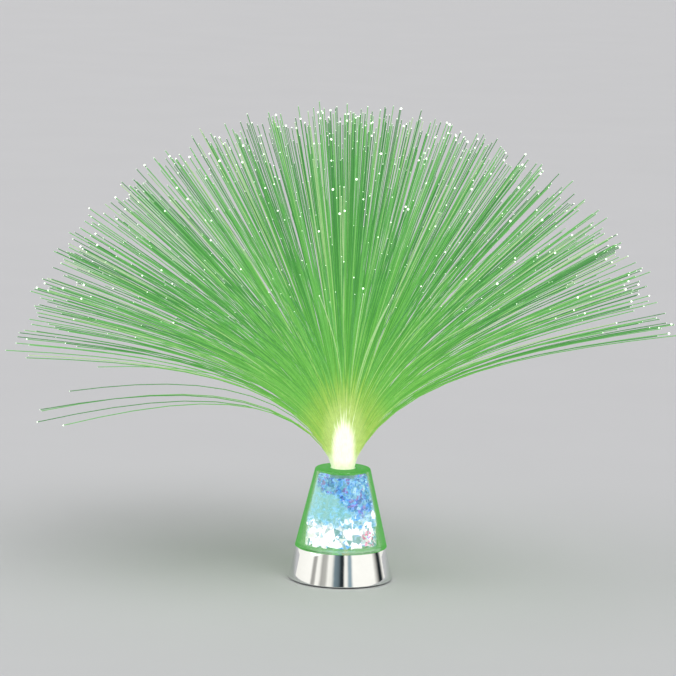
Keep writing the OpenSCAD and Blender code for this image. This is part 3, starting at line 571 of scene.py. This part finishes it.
SECTORS = 6
RINGS = 10
STRANDS = SECTORS * RINGS * (RINGS + 1) // 2
FIBRES_PER_STRAND = 4
FIBRE_STATIONS = 13
FIBRE_D = 0.6 * MM
FIBRE_SINK = 0.3 * MM       # how deep the fibres' roots are in the plug
FIBRE_LENGTH = 256 * MM
BEAD_SHARE = 0.0045         # share of it that the bead at the tip takes
BEAD_SMALL = 0.6            # scale of most beads
BEAD_MORE = 1.5             # what the largest has more
FIBRE_LEAN = 85.5           # degrees, of the outermost fibres at their tips, left and right
FIBRE_FLATTEN = 0.2         # share of the lean that is missing at the front and back
FIBRE_BIAS = 0.045          # share by which the left leans further
FIBRE_DROOP = 18.0          # degrees more, for the few that droop on the left
RING_TURN = math.radians(14)
LEAN_AT_ROOT = 0.23
LEAN_LENGTH = 0.29 * FIBRE_LENGTH
GOLDEN_ANGLE = math.radians(137.5)
LEAN_SCATTER = 0.618034
LENGTH_SCATTER = 0.754878
CROWDING = 1.5              # power by which the stations lie closer together near the root
MIDDLE = 0.35               # of a ring: what the dome leaves out at its middle
LEAN_STRAY = 0.25           # of a ring's share of the lean
LENGTH_STRAY = 0.02         # of the length, and the same for the next two
DROOPING_LESS = -0.1
COMPANION_LESS = (-0.05, -0.005)
COMPANION_AROUND = 0.55     # of the gap to the next strand
COMPANION_SWAY = 0.08       # radians at the tip


def make_spray(material):
    """Fibres in the rings and sectors of the solid strands: one on each strand, and its companions
    between that strand and the next. Each leans further along its length, in steps that are summed."""
    s = Shape("glowing_spray")
    strands_in_all = s.size("Strands", STRANDS)
    each = s.size("Fibres for each strand", FIBRES_PER_STRAND)
    stations = s.size("Stations", FIBRE_STATIONS)
    length = s.size("Length", FIBRE_LENGTH)
    width = s.size("Width", FIBRE_D)
    lean = s.size("Lean", FIBRE_LEAN)
    radius = s.size("Bundle radius", bundle_r - FIBRE_D / 2)

    line = s.add("GeometryNodeCurvePrimitiveLine").outputs["Curve"]
    line = s.add("GeometryNodeResampleCurve", {"Curve": line, "Count": stations}).outputs["Curve"]
    count = s.sums("MULTIPLY", strands_in_all, each)
    roots = s.add("GeometryNodeMeshLine", {"Count": count}).outputs["Mesh"]
    strands = s.add("GeometryNodeInstanceOnPoints", {"Points": roots, "Instance": line}).outputs["Instances"]
    strands = s.add("GeometryNodeRealizeInstances", {"Geometry": strands}).outputs["Geometry"]

    index = s.add("GeometryNodeInputIndex").outputs["Index"]
    fibre = s.sums("FLOOR", s.sums("DIVIDE", s.sums("ADD", index, 0.5), stations))
    station = s.sums("SUBTRACT", index, s.sums("MULTIPLY", fibre, stations))
    last = s.sums("SUBTRACT", stations, 1.0)
    strand = s.sums("FLOOR", s.sums("DIVIDE", s.sums("ADD", fibre, 0.5), each))
    companion = s.sums("GREATER_THAN", s.sums("SUBTRACT", fibre, s.sums("MULTIPLY", strand, each)), 0.5)

    # Where the strand stands: ring n has n strands in each sector. The 1.01 is 1 and a hair for rounding.
    in_sector = float(STRANDS // SECTORS)
    sector = s.sums("FLOOR", s.sums("DIVIDE", s.sums("ADD", strand, 0.5), in_sector))
    place_in = s.sums("SUBTRACT", strand, s.sums("MULTIPLY", sector, in_sector))
    ring = s.sums("SQRT", s.sums("ADD", s.sums("MULTIPLY", place_in, 8.0), 1.01))
    ring = s.sums("FLOOR", s.sums("MULTIPLY", s.sums("ADD", ring, 1.0), 0.5))
    before_ring = s.sums("MULTIPLY", s.sums("MULTIPLY", ring, s.sums("SUBTRACT", ring, 1.0)), 0.5)
    in_ring = s.sums("SUBTRACT", place_in, before_ring)
    share = s.sums("DIVIDE", s.sums("ADD", in_ring, 0.5), ring)
    root_angle = s.sums("MULTIPLY", s.sums("ADD", sector, share), 2 * math.pi / SECTORS)
    turned = s.sums("MULTIPLY", s.sums("SINE", s.sums("MULTIPLY", ring, GOLDEN_ANGLE)), RING_TURN)

    # Companions stray around towards the neighbours, and inwards as far as the next ring
    around = s.sums("MULTIPLY", companion, s.random(fibre, -COMPANION_AROUND, COMPANION_AROUND, 3))
    around = s.sums("MULTIPLY", s.sums("DIVIDE", around, ring), 2 * math.pi / SECTORS)
    angle = s.sums("ADD", s.sums("ADD", root_angle, turned), around)
    inward = s.sums("MULTIPLY", companion, s.random(fibre, -1.0, 0.0, 4))
    root_share = s.sums("DIVIDE", s.sums("SUBTRACT", s.sums("ADD", ring, inward), 0.5 / RINGS), float(RINGS))
    root_r = s.sums("MULTIPLY", radius, root_share)
    root_turn = s.sums("ADD", root_angle, around)
    root_x = s.sums("MULTIPLY", root_r, s.sums("COSINE", root_turn))
    root_y = s.sums("MULTIPLY", root_r, s.sums("SINE", root_turn))

    # How far the fibre leans at its tip: the rings share the dome evenly
    across = s.sums("POWER", s.sums("SINE", angle), 2.0)
    limit = s.sums("SUBTRACT", 1.0, s.sums("MULTIPLY", across, FIBRE_FLATTEN))
    limit = s.sums("SUBTRACT", limit, s.sums("MULTIPLY", s.sums("COSINE", angle), FIBRE_BIAS))
    limit = s.sums("MULTIPLY", limit, lean)
    half = s.sums("SINE", s.sums("RADIANS", s.sums("MULTIPLY", limit, 0.5)))
    dome_share = s.sums("DIVIDE", s.sums("SUBTRACT", s.sums("ADD", ring, inward), MIDDLE), RINGS - MIDDLE)
    dome_share = s.sums("MAXIMUM", dome_share, 0.01)
    dome = s.sums("DEGREES", s.sums("MULTIPLY", s.sums("ARCSINE", s.sums("MULTIPLY", dome_share, half)), 2.0))
    lean_noise = s.sums("FRACT", s.sums("MULTIPLY", strand, LEAN_SCATTER))
    lean_noise = s.sums("SUBTRACT", s.sums("MULTIPLY", lean_noise, 2.0), 1.0)
    dome = s.sums("ADD", dome, s.sums("MULTIPLY", s.sums("MULTIPLY", lean_noise, lean), LEAN_STRAY / RINGS))
    outermost = s.sums("GREATER_THAN", ring, RINGS - 0.5)
    even = s.sums("LESS_THAN", s.sums("FLOORED_MODULO", in_ring, 2.0), 0.5)
    strand_angle = s.sums("ADD", root_angle, turned)
    left = s.sums("LESS_THAN", s.sums("COSINE", strand_angle), -math.cos(math.radians(35)))
    drooping = s.sums("MULTIPLY", s.sums("MULTIPLY", outermost, even), left)
    drooping = s.sums("MULTIPLY", drooping, s.sums("SUBTRACT", 1.0, companion))
    final = s.sums("RADIANS", s.sums("ADD", dome, s.sums("MULTIPLY", drooping, FIBRE_DROOP)))
    length_noise = s.sums("FRACT", s.sums("MULTIPLY", strand, LENGTH_SCATTER))
    length_noise = s.sums("SUBTRACT", s.sums("MULTIPLY", length_noise, 2.0), 1.0)
    stray = s.sums("MULTIPLY", length_noise, LENGTH_STRAY)
    stray = s.sums("ADD", stray, s.sums("MULTIPLY", drooping, DROOPING_LESS))
    stray = s.sums("ADD", stray, s.sums("MULTIPLY", companion, s.random(fibre, *COMPANION_LESS, 9)))
    own = s.sums("MULTIPLY", length, s.sums("ADD", stray, 1 - BEAD_SHARE))

    # Steps from station to station, summed along each fibre
    here = s.sums("POWER", s.sums("DIVIDE", station, last), CROWDING)
    one_back = s.sums("MAXIMUM", s.sums("DIVIDE", s.sums("SUBTRACT", station, 1.0), last), 0.0)
    before = s.sums("POWER", one_back, CROWDING)
    step = s.sums("MULTIPLY", own, s.sums("SUBTRACT", here, before))
    middle = s.sums("MULTIPLY", own, s.sums("MULTIPLY", s.sums("ADD", here, before), 0.5))
    fade = s.sums("EXPONENT", s.sums("DIVIDE", middle, -LEAN_LENGTH))
    tilt = s.sums("MULTIPLY", final, s.sums("SUBTRACT", 1.0, s.sums("MULTIPLY", fade, 1 - LEAN_AT_ROOT)))
    sway = s.random(fibre, -COMPANION_SWAY, COMPANION_SWAY, 11)
    sway = s.sums("MULTIPLY", s.sums("MULTIPLY", companion, sway), here)
    bearing = s.sums("ADD", angle, sway)
    out = s.sums("MULTIPLY", step, s.sums("SINE", tilt))
    piece = s.vector(s.sums("MULTIPLY", out, s.sums("COSINE", bearing)),
                     s.sums("MULTIPLY", out, s.sums("SINE", bearing)),
                     s.sums("MULTIPLY", step, s.sums("COSINE", tilt)))
    fibre_id = s.add("FunctionNodeFloatToInt", {"Float": fibre}).outputs["Integer"]
    walk = s.add("GeometryNodeAccumulateField", data_type="FLOAT_VECTOR", domain="POINT")
    s.tree.links.new(piece, next(i for i in walk.inputs if i.name == "Value" and i.enabled))
    s.tree.links.new(fibre_id, next(i for i in walk.inputs if i.name.startswith("Group")))
    reached = next(o for o in walk.outputs if o.name == "Leading" and o.enabled)
    sunk = s.sums("MULTIPLY", s.sums("LESS_THAN", station, 0.5), spray_foot_z - plug_top_z + FIBRE_SINK)
    root = s.vector(root_x, root_y, s.sums("SUBTRACT", spray_foot_z, sunk))
    position = s.add("ShaderNodeVectorMath", operation="ADD")
    s.tree.links.new(root, position.inputs[0])
    s.tree.links.new(reached, position.inputs[1])

    strands = s.store(strands, "along", here)
    strands = s.store(strands, "shade", s.random(fibre, 0.0, 1.0, 13))
    strands = s.store(strands, "last", s.sums("GREATER_THAN", station, s.sums("SUBTRACT", last, 0.5)))
    strands = s.store(strands, "bead", s.random(fibre, 0.0, 1.0, 17))
    strands = s.add("GeometryNodeSetPosition",
                    {"Geometry": strands, "Position": position.outputs["Vector"]}).outputs["Geometry"]
    profile = s.add("GeometryNodeCurvePrimitiveCircle",
                    {"Resolution": 4, "Radius": s.sums("MULTIPLY", width, 0.5)}).outputs["Curve"]
    tubes = s.add("GeometryNodeCurveToMesh",
                  {"Curve": strands, "Profile Curve": profile, "Fill Caps": True}).outputs["Mesh"]
    tubes = s.store(tubes, "tip", 0.0)

    # The light leaves at the cut ends: a bright bead on each, larger on a few
    is_last = s.stored("last")
    bead = s.stored("bead")
    bead_scale = s.sums("ADD", BEAD_SMALL, s.sums("MULTIPLY", s.sums("POWER", bead, 6.0), BEAD_MORE))
    ball = s.add("GeometryNodeMeshIcoSphere",
                 {"Radius": s.sums("MULTIPLY", width, 0.7), "Subdivisions": 1})
    beads = s.add("GeometryNodeInstanceOnPoints",
                  {"Points": strands, "Selection": is_last, "Instance": ball.outputs["Mesh"],
                   "Scale": s.vector(bead_scale, bead_scale, bead_scale)}).outputs["Instances"]
    beads = s.add("GeometryNodeRealizeInstances", {"Geometry": beads}).outputs["Geometry"]
    beads = s.store(beads, "tip", 1.0)
    joined = s.tree.nodes.new("GeometryNodeJoinGeometry")
    s.tree.links.new(tubes, joined.inputs["Geometry"])
    s.tree.links.new(beads, joined.inputs["Geometry"])
    piece = s.finished(joined.outputs["Geometry"], material)
    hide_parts(*[f"fiber_spray_{number}" for number in range(1, SECTORS + 1)])
    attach(piece, "spray")
    return piece


CHIP = 2.8 * MM
SHARD = 6.8 * MM
CHIP_GAP = 0.3 * MM         # between the chips and the wall that holds them
BROKEN_REACH = 0.9 * MM     # how far a chip's corner may be off its block
RIM_LAND = 0.7 * MM         # width of the rim's top, where it meets the cone's bore
SHARDS_TOP = 41 * MM        # the large shards lie below this height


def make_chips(material):
    """Crushed chips that fill the space between the cone's bore and the light tube: many small ones,
    and a few large shards that lie against the bore low down."""
    s = Shape("crushed_chips")
    bottom = s.size("Bottom", floor_top_z + 0.05 * MM)
    top = s.size("Top", chips_top_z)
    inner = s.size("Inner radius", tube_r + CHIP_GAP)
    foot = s.size("Bore radius at the cone's foot", cone_foot_r - CONE_WALL - CHIP_GAP)
    cone_taper = (cone_foot_r - CONE_LID_R) / (lid_z - cone_foot_z)
    taper = s.size("Taper", cone_taper)
    rim_foot = s.size("Rim's inner radius at the floor", RIM_FOOT_R - CHIP_GAP)
    rim_top_r = cone_foot_r - CONE_WALL - (rim_top_z - cone_foot_z) * cone_taper - RIM_LAND
    rim_slope = s.size("Rim's slope", (rim_top_r - RIM_FOOT_R) / (rim_top_z - floor_top_z))

    def wall_radius(z):
        """How far out the chips may lie at a height."""
        bore = s.sums("SUBTRACT", foot, s.sums("MULTIPLY", taper, s.sums("SUBTRACT", z, cone_foot_z)))
        dish = s.sums("ADD", rim_foot, s.sums("MULTIPLY", rim_slope, s.sums("SUBTRACT", z, bottom)))
        return s.sums("MINIMUM", bore, dish)

    def heap(count, size, low, high, near, far, shard, seed):
        """Broken blocks, scattered from low to high and from near to far (0 at the tube, 1 at the bore).
        shard is 1 for the large ones."""
        points = s.add("GeometryNodeMeshLine", {"Count": s.size(f"Chips {seed}", count)}).outputs["Mesh"]
        index = s.add("GeometryNodeInputIndex").outputs["Index"]
        rise = s.sums("DIVIDE", s.sums("ADD", index, 0.5), float(count))
        z = s.sums("ADD", low, s.sums("MULTIPLY", rise, s.sums("SUBTRACT", high, low)))
        out = s.sums("SQRT", s.random(index, near, far, seed))
        r = s.sums("ADD", inner, s.sums("MULTIPLY", out, s.sums("SUBTRACT", wall_radius(z), inner)))
        turn = s.sums("MULTIPLY", index, GOLDEN_ANGLE)
        centre = s.vector(s.sums("MULTIPLY", r, s.sums("COSINE", turn)),
                          s.sums("MULTIPLY", r, s.sums("SINE", turn)), z)
        spots = s.add("GeometryNodeSetPosition", {"Geometry": points, "Position": centre})
        points = s.store(spots.outputs["Geometry"], "chip", s.random(index, 0.0, 1.0, seed + 1))
        points = s.store(points, "shard", shard)
        block = s.add("GeometryNodeMeshCube", {"Size": s.vector(size, size, size)}).outputs["Mesh"]
        turned = s.vector(*(s.random(index, 0, 2 * math.pi, seed + k) for k in (2, 3, 4)))
        sides = s.vector(s.random(index, 0.6, 1.3, seed + 5), s.random(index, 0.35, 0.9, seed + 6),
                         s.random(index, 0.5, 1.2, seed + 7))
        blocks = s.add("GeometryNodeInstanceOnPoints",
                       {"Points": points, "Instance": block, "Rotation": turned, "Scale": sides})
        return blocks.outputs["Instances"]

    joined = s.tree.nodes.new("GeometryNodeJoinGeometry")
    shards_top = s.size("Top of the shards", SHARDS_TOP)
    for instances in (heap(1800, CHIP, shards_top, top, 0.3, 1.0, 0.0, 20),
                      heap(700, CHIP, bottom, shards_top, 0.3, 0.8, 0.0, 30),
                      heap(80, SHARD, bottom, shards_top, 0.86, 1.0, 1.0, 40)):
        s.tree.links.new(instances, joined.inputs["Geometry"])
    chips = joined.outputs["Geometry"]
    chips = s.add("GeometryNodeRealizeInstances", {"Geometry": chips}).outputs["Geometry"]

    # Broken corners, kept inside the wall, the tube and the ends
    corner = s.add("GeometryNodeInputIndex").outputs["Index"]
    broken = s.vector(*(s.random(corner, -BROKEN_REACH, BROKEN_REACH, seed) for seed in (61, 62, 63)))
    chips = s.add("GeometryNodeSetPosition", {"Geometry": chips, "Offset": broken}).outputs["Geometry"]
    position = s.add("GeometryNodeInputPosition").outputs["Position"]
    at = s.add("ShaderNodeSeparateXYZ", {"Vector": position}).outputs
    held_z = s.sums("MINIMUM", s.sums("MAXIMUM", at["Z"], bottom), top)
    squares = (s.sums("MULTIPLY", at["X"], at["X"]), s.sums("MULTIPLY", at["Y"], at["Y"]))
    radius = s.sums("SQRT", s.sums("ADD", *squares))
    held_r = s.sums("MINIMUM", s.sums("MAXIMUM", radius, inner), wall_radius(held_z))
    factor = s.sums("DIVIDE", held_r, radius)
    held = s.vector(s.sums("MULTIPLY", at["X"], factor), s.sums("MULTIPLY", at["Y"], factor), held_z)
    chips = s.add("GeometryNodeSetPosition", {"Geometry": chips, "Position": held}).outputs["Geometry"]
    chips = s.add("GeometryNodeTriangulate", {"Mesh": chips}).outputs["Mesh"]
    face = s.add("GeometryNodeInputIndex").outputs["Index"]
    chips = s.store(chips, "facet", s.random(face, 0.0, 1.0, 65), "FACE")
    piece = s.finished(chips, material)
    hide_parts("crystal_chips")
    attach(piece, "base")
    return piece


# ---- Stage and light ----

FLOOR_SIZE = 40.0
FLOOR_Z = -0.05 * MM        # just under the feet
STUDIO = (0.56, 0.56, 0.5656)       # the backdrop, as the camera sees it
STUDIO_FILL = (0.52, 0.52, 0.53)    # the light from it that reaches the lamp


def make_floor():
    half = FLOOR_SIZE / 2
    mesh = bpy.data.meshes.new("studio_floor")
    corners = [(-half, -half, 0), (half, -half, 0), (half, half, 0), (-half, half, 0)]
    mesh.from_pydata(corners, [], [(0, 1, 2, 3)])
    floor = bpy.data.objects.new("studio_floor", mesh)
    bpy.context.scene.collection.objects.link(floor)
    floor.location.z = FLOOR_Z
    material, tree, shader = new_finish("studio_paper")
    coordinates, _ = place(tree)
    fibres = grain(tree, coordinates, 6, 2)
    set_shader(tree, shader,
               base_color=ramp(tree, fibres, [(0.3, (0.54, 0.54, 0.55)), (0.7, (0.55, 0.55, 0.56))]),
               roughness=0.75,
               specular_ior_level=0.2)
    floor.data.materials.append(material)


# What the chromed base mirrors: softboxes and dark flags in turn.
# Each stop is its bearing from the front in degrees, its level and its tint.
WARM = (1.18, 1.16, 1.08)
COOL = (0.3, 0.4, 0.45)
MIRRORED = [
    (-180, 0.5, WARM), (-165, 0.9, WARM), (-72, 1.0, WARM), (-67, 0.36, WARM), (-61, 0.4, WARM),
    (-57, 1.0, WARM), (-50, 0.95, WARM), (-44, 0.42, WARM), (-34, 0.5, WARM), (-28, 1.0, WARM),
    (-20, 0.9, WARM), (-13, 0.75, COOL), (-4, 0.5, COOL), (2, 0.08, COOL), (7, 0.1, COOL),
    (11, 0.95, WARM), (16, 0.9, WARM), (20, 1.1, COOL), (25, 1.0, COOL), (30, 1.0, WARM),
    (84, 1.0, WARM), (94, 0.4, WARM), (101, 0.04, COOL), (108, 0.08, COOL), (117, 0.9, WARM),
    (138, 0.8, WARM), (146, 0.06, COOL), (162, 0.1, COOL), (170, 0.4, WARM)]


# Name, strength, width in degrees, and the way it shines from
SOFT_LAMPS = [("key", 1.5, 35, (0.55, -0.75, 1.5)), ("fill", 0.6, 60, (-1.0, -0.3, 0.9))]


def make_light():
    world = bpy.data.worlds.new("studio")
    bpy.context.scene.world = world
    world.use_nodes = True
    tree = world.node_tree
    tree.nodes.clear()
    direction = add(tree, "ShaderNodeTexCoord").outputs["Generated"]
    towards = add(tree, "ShaderNodeSeparateXYZ", {"Vector": direction}).outputs
    bearing = sums(tree, "ARCTAN2", towards["X"], sums(tree, "MULTIPLY", towards["Y"], -1.0))
    share = sums(tree, "ADD", sums(tree, "DIVIDE", bearing, 2 * math.pi), 0.5)
    stops = [((degrees + 180) / 360, tuple(level * c for c in tint)) for degrees, level, tint in MIRRORED]
    bands = ramp(tree, share, stops)
    path = add(tree, "ShaderNodeLightPath").outputs
    plain = blend_colours(tree, path["Is Diffuse Ray"], STUDIO, STUDIO_FILL)
    colour = blend_colours(tree, path["Is Glossy Ray"], plain, bands)
    background = add(tree, "ShaderNodeBackground", {"Color": colour, "Strength": 1.0})
    output = tree.nodes.new("ShaderNodeOutputWorld")
    tree.links.new(background.outputs["Background"], output.inputs["Surface"])
    for name, strength, width, way in SOFT_LAMPS:
        data = bpy.data.lights.new(name, "SUN")
        data.energy = strength
        data.angle = math.radians(width)
        lamp = bpy.data.objects.new(name, data)
        lamp.rotation_mode = "QUATERNION"
        lamp.rotation_quaternion = Vector(way).to_track_quat("Z", "Y")
        bpy.context.scene.collection.objects.link(lamp)


# ---- Putting it together ----


def coat(node, material):
    solids[node].data.materials.clear()
    solids[node].data.materials.append(material)


WELD = 0.002 * MM           # corners nearer than this are one
SHARP = math.radians(28)    # an edge that bends more than this stays sharp


def smooth_copy(node, slot, finish):
    """The node's own shape with its triangles joined and its round faces shaded round."""
    mesh = solids[node].data.copy()
    mesh.name = node + "_finished"
    work = bmesh.new()
    work.from_mesh(mesh)
    bmesh.ops.remove_doubles(work, verts=work.verts, dist=WELD)
    for edge in work.edges:
        edge.smooth = len(edge.link_faces) == 2 and edge.calc_face_angle(math.pi) < SHARP
    for face in work.faces:
        face.smooth = True
    work.to_mesh(mesh)
    work.free()
    mesh.materials.clear()
    mesh.materials.append(finish)
    piece = bpy.data.objects.new(node + "_finished", mesh)
    bpy.context.scene.collection.objects.link(piece)
    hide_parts(node)
    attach(piece, "base")


def dress_solids():
    black = moulded_plastic("black_moulding", (0.018, 0.018, 0.02), (0.035, 0.035, 0.038))
    metal = plated_metal("zinc_plate", (0.55, 0.56, 0.58))
    nickel = plated_metal("nickel_plate", (0.72, 0.7, 0.65), 0.2)
    tube = clear_moulding("tube_moulding", (0.9, 0.97, 1.0), TUBE_LIGHT, 70.0)
    cone = clear_moulding("cone_moulding", (0.94, 1.0, 0.94), EDGE_LIGHT, 80.0, 0.85)
    floor = clear_moulding("floor_moulding", (0.94, 1.0, 0.94), EDGE_LIGHT, 55.0, 0.5, LIP_LIGHT)
    for node in ("base_plate", "battery_door", "switch_knob", "driver_blob", "led_resistors"):
        coat(node, black)
    for node in ("plate_screws", "board_screws", "switch_body"):
        coat(node, metal)
    for node in ("contact_springs", "contact_plates"):
        coat(node, nickel)
    for node, slot, finish in (("base_shell", "chromed_shell", chromed_plastic()),
                               ("clear_cone", "lit_cone", cone),
                               ("cone_floor", "clear_plastic", floor),
                               ("light_tube", "clear_plastic", tube)):
        smooth_copy(node, slot, finish)
        coat(node, finish)
    coat("rubber_feet", soft_rubber())
    coat("door_foam", sponge_foam())
    coat("led_board", board_laminate())
    lit_collar = moulded_plastic("ferrule_moulding", (0.4, 0.62, 0.42), (0.5, 0.7, 0.5), 0.35, glow=0.12)
    coat("ferrule", lit_collar)
    for node, colour in (("led_red", (1.0, 0.1, 0.06)), ("led_green", (0.1, 1.0, 0.15)),
                         ("led_blue", (0.1, 0.25, 1.0))):
        coat(node, led_lens(node, colour))
    for node, colour in (("wire_positive", (0.5, 0.02, 0.015)), ("wire_negative", (0.015, 0.015, 0.017)),
                         ("wire_switched", (0.7, 0.7, 0.67))):
        coat(node, wire_sleeve(node, colour))
    for number, way in ((1, 1), (2, -1), (3, 1)):
        low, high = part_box(f"battery_{number}")
        nub_y = high.y if way > 0 else low.y
        coat(f"battery_{number}", cell_sleeve(f"battery_{number}", nub_y, way))


make_camera()
make_floor()
make_light()
dress_solids()
fibre_finish = fibre_plastic()
coat("bundle_plug", fibre_finish)
make_spray(fibre_finish)
make_chips(chip_plastic())

bpy.context.scene.view_settings.view_transform = "Standard"
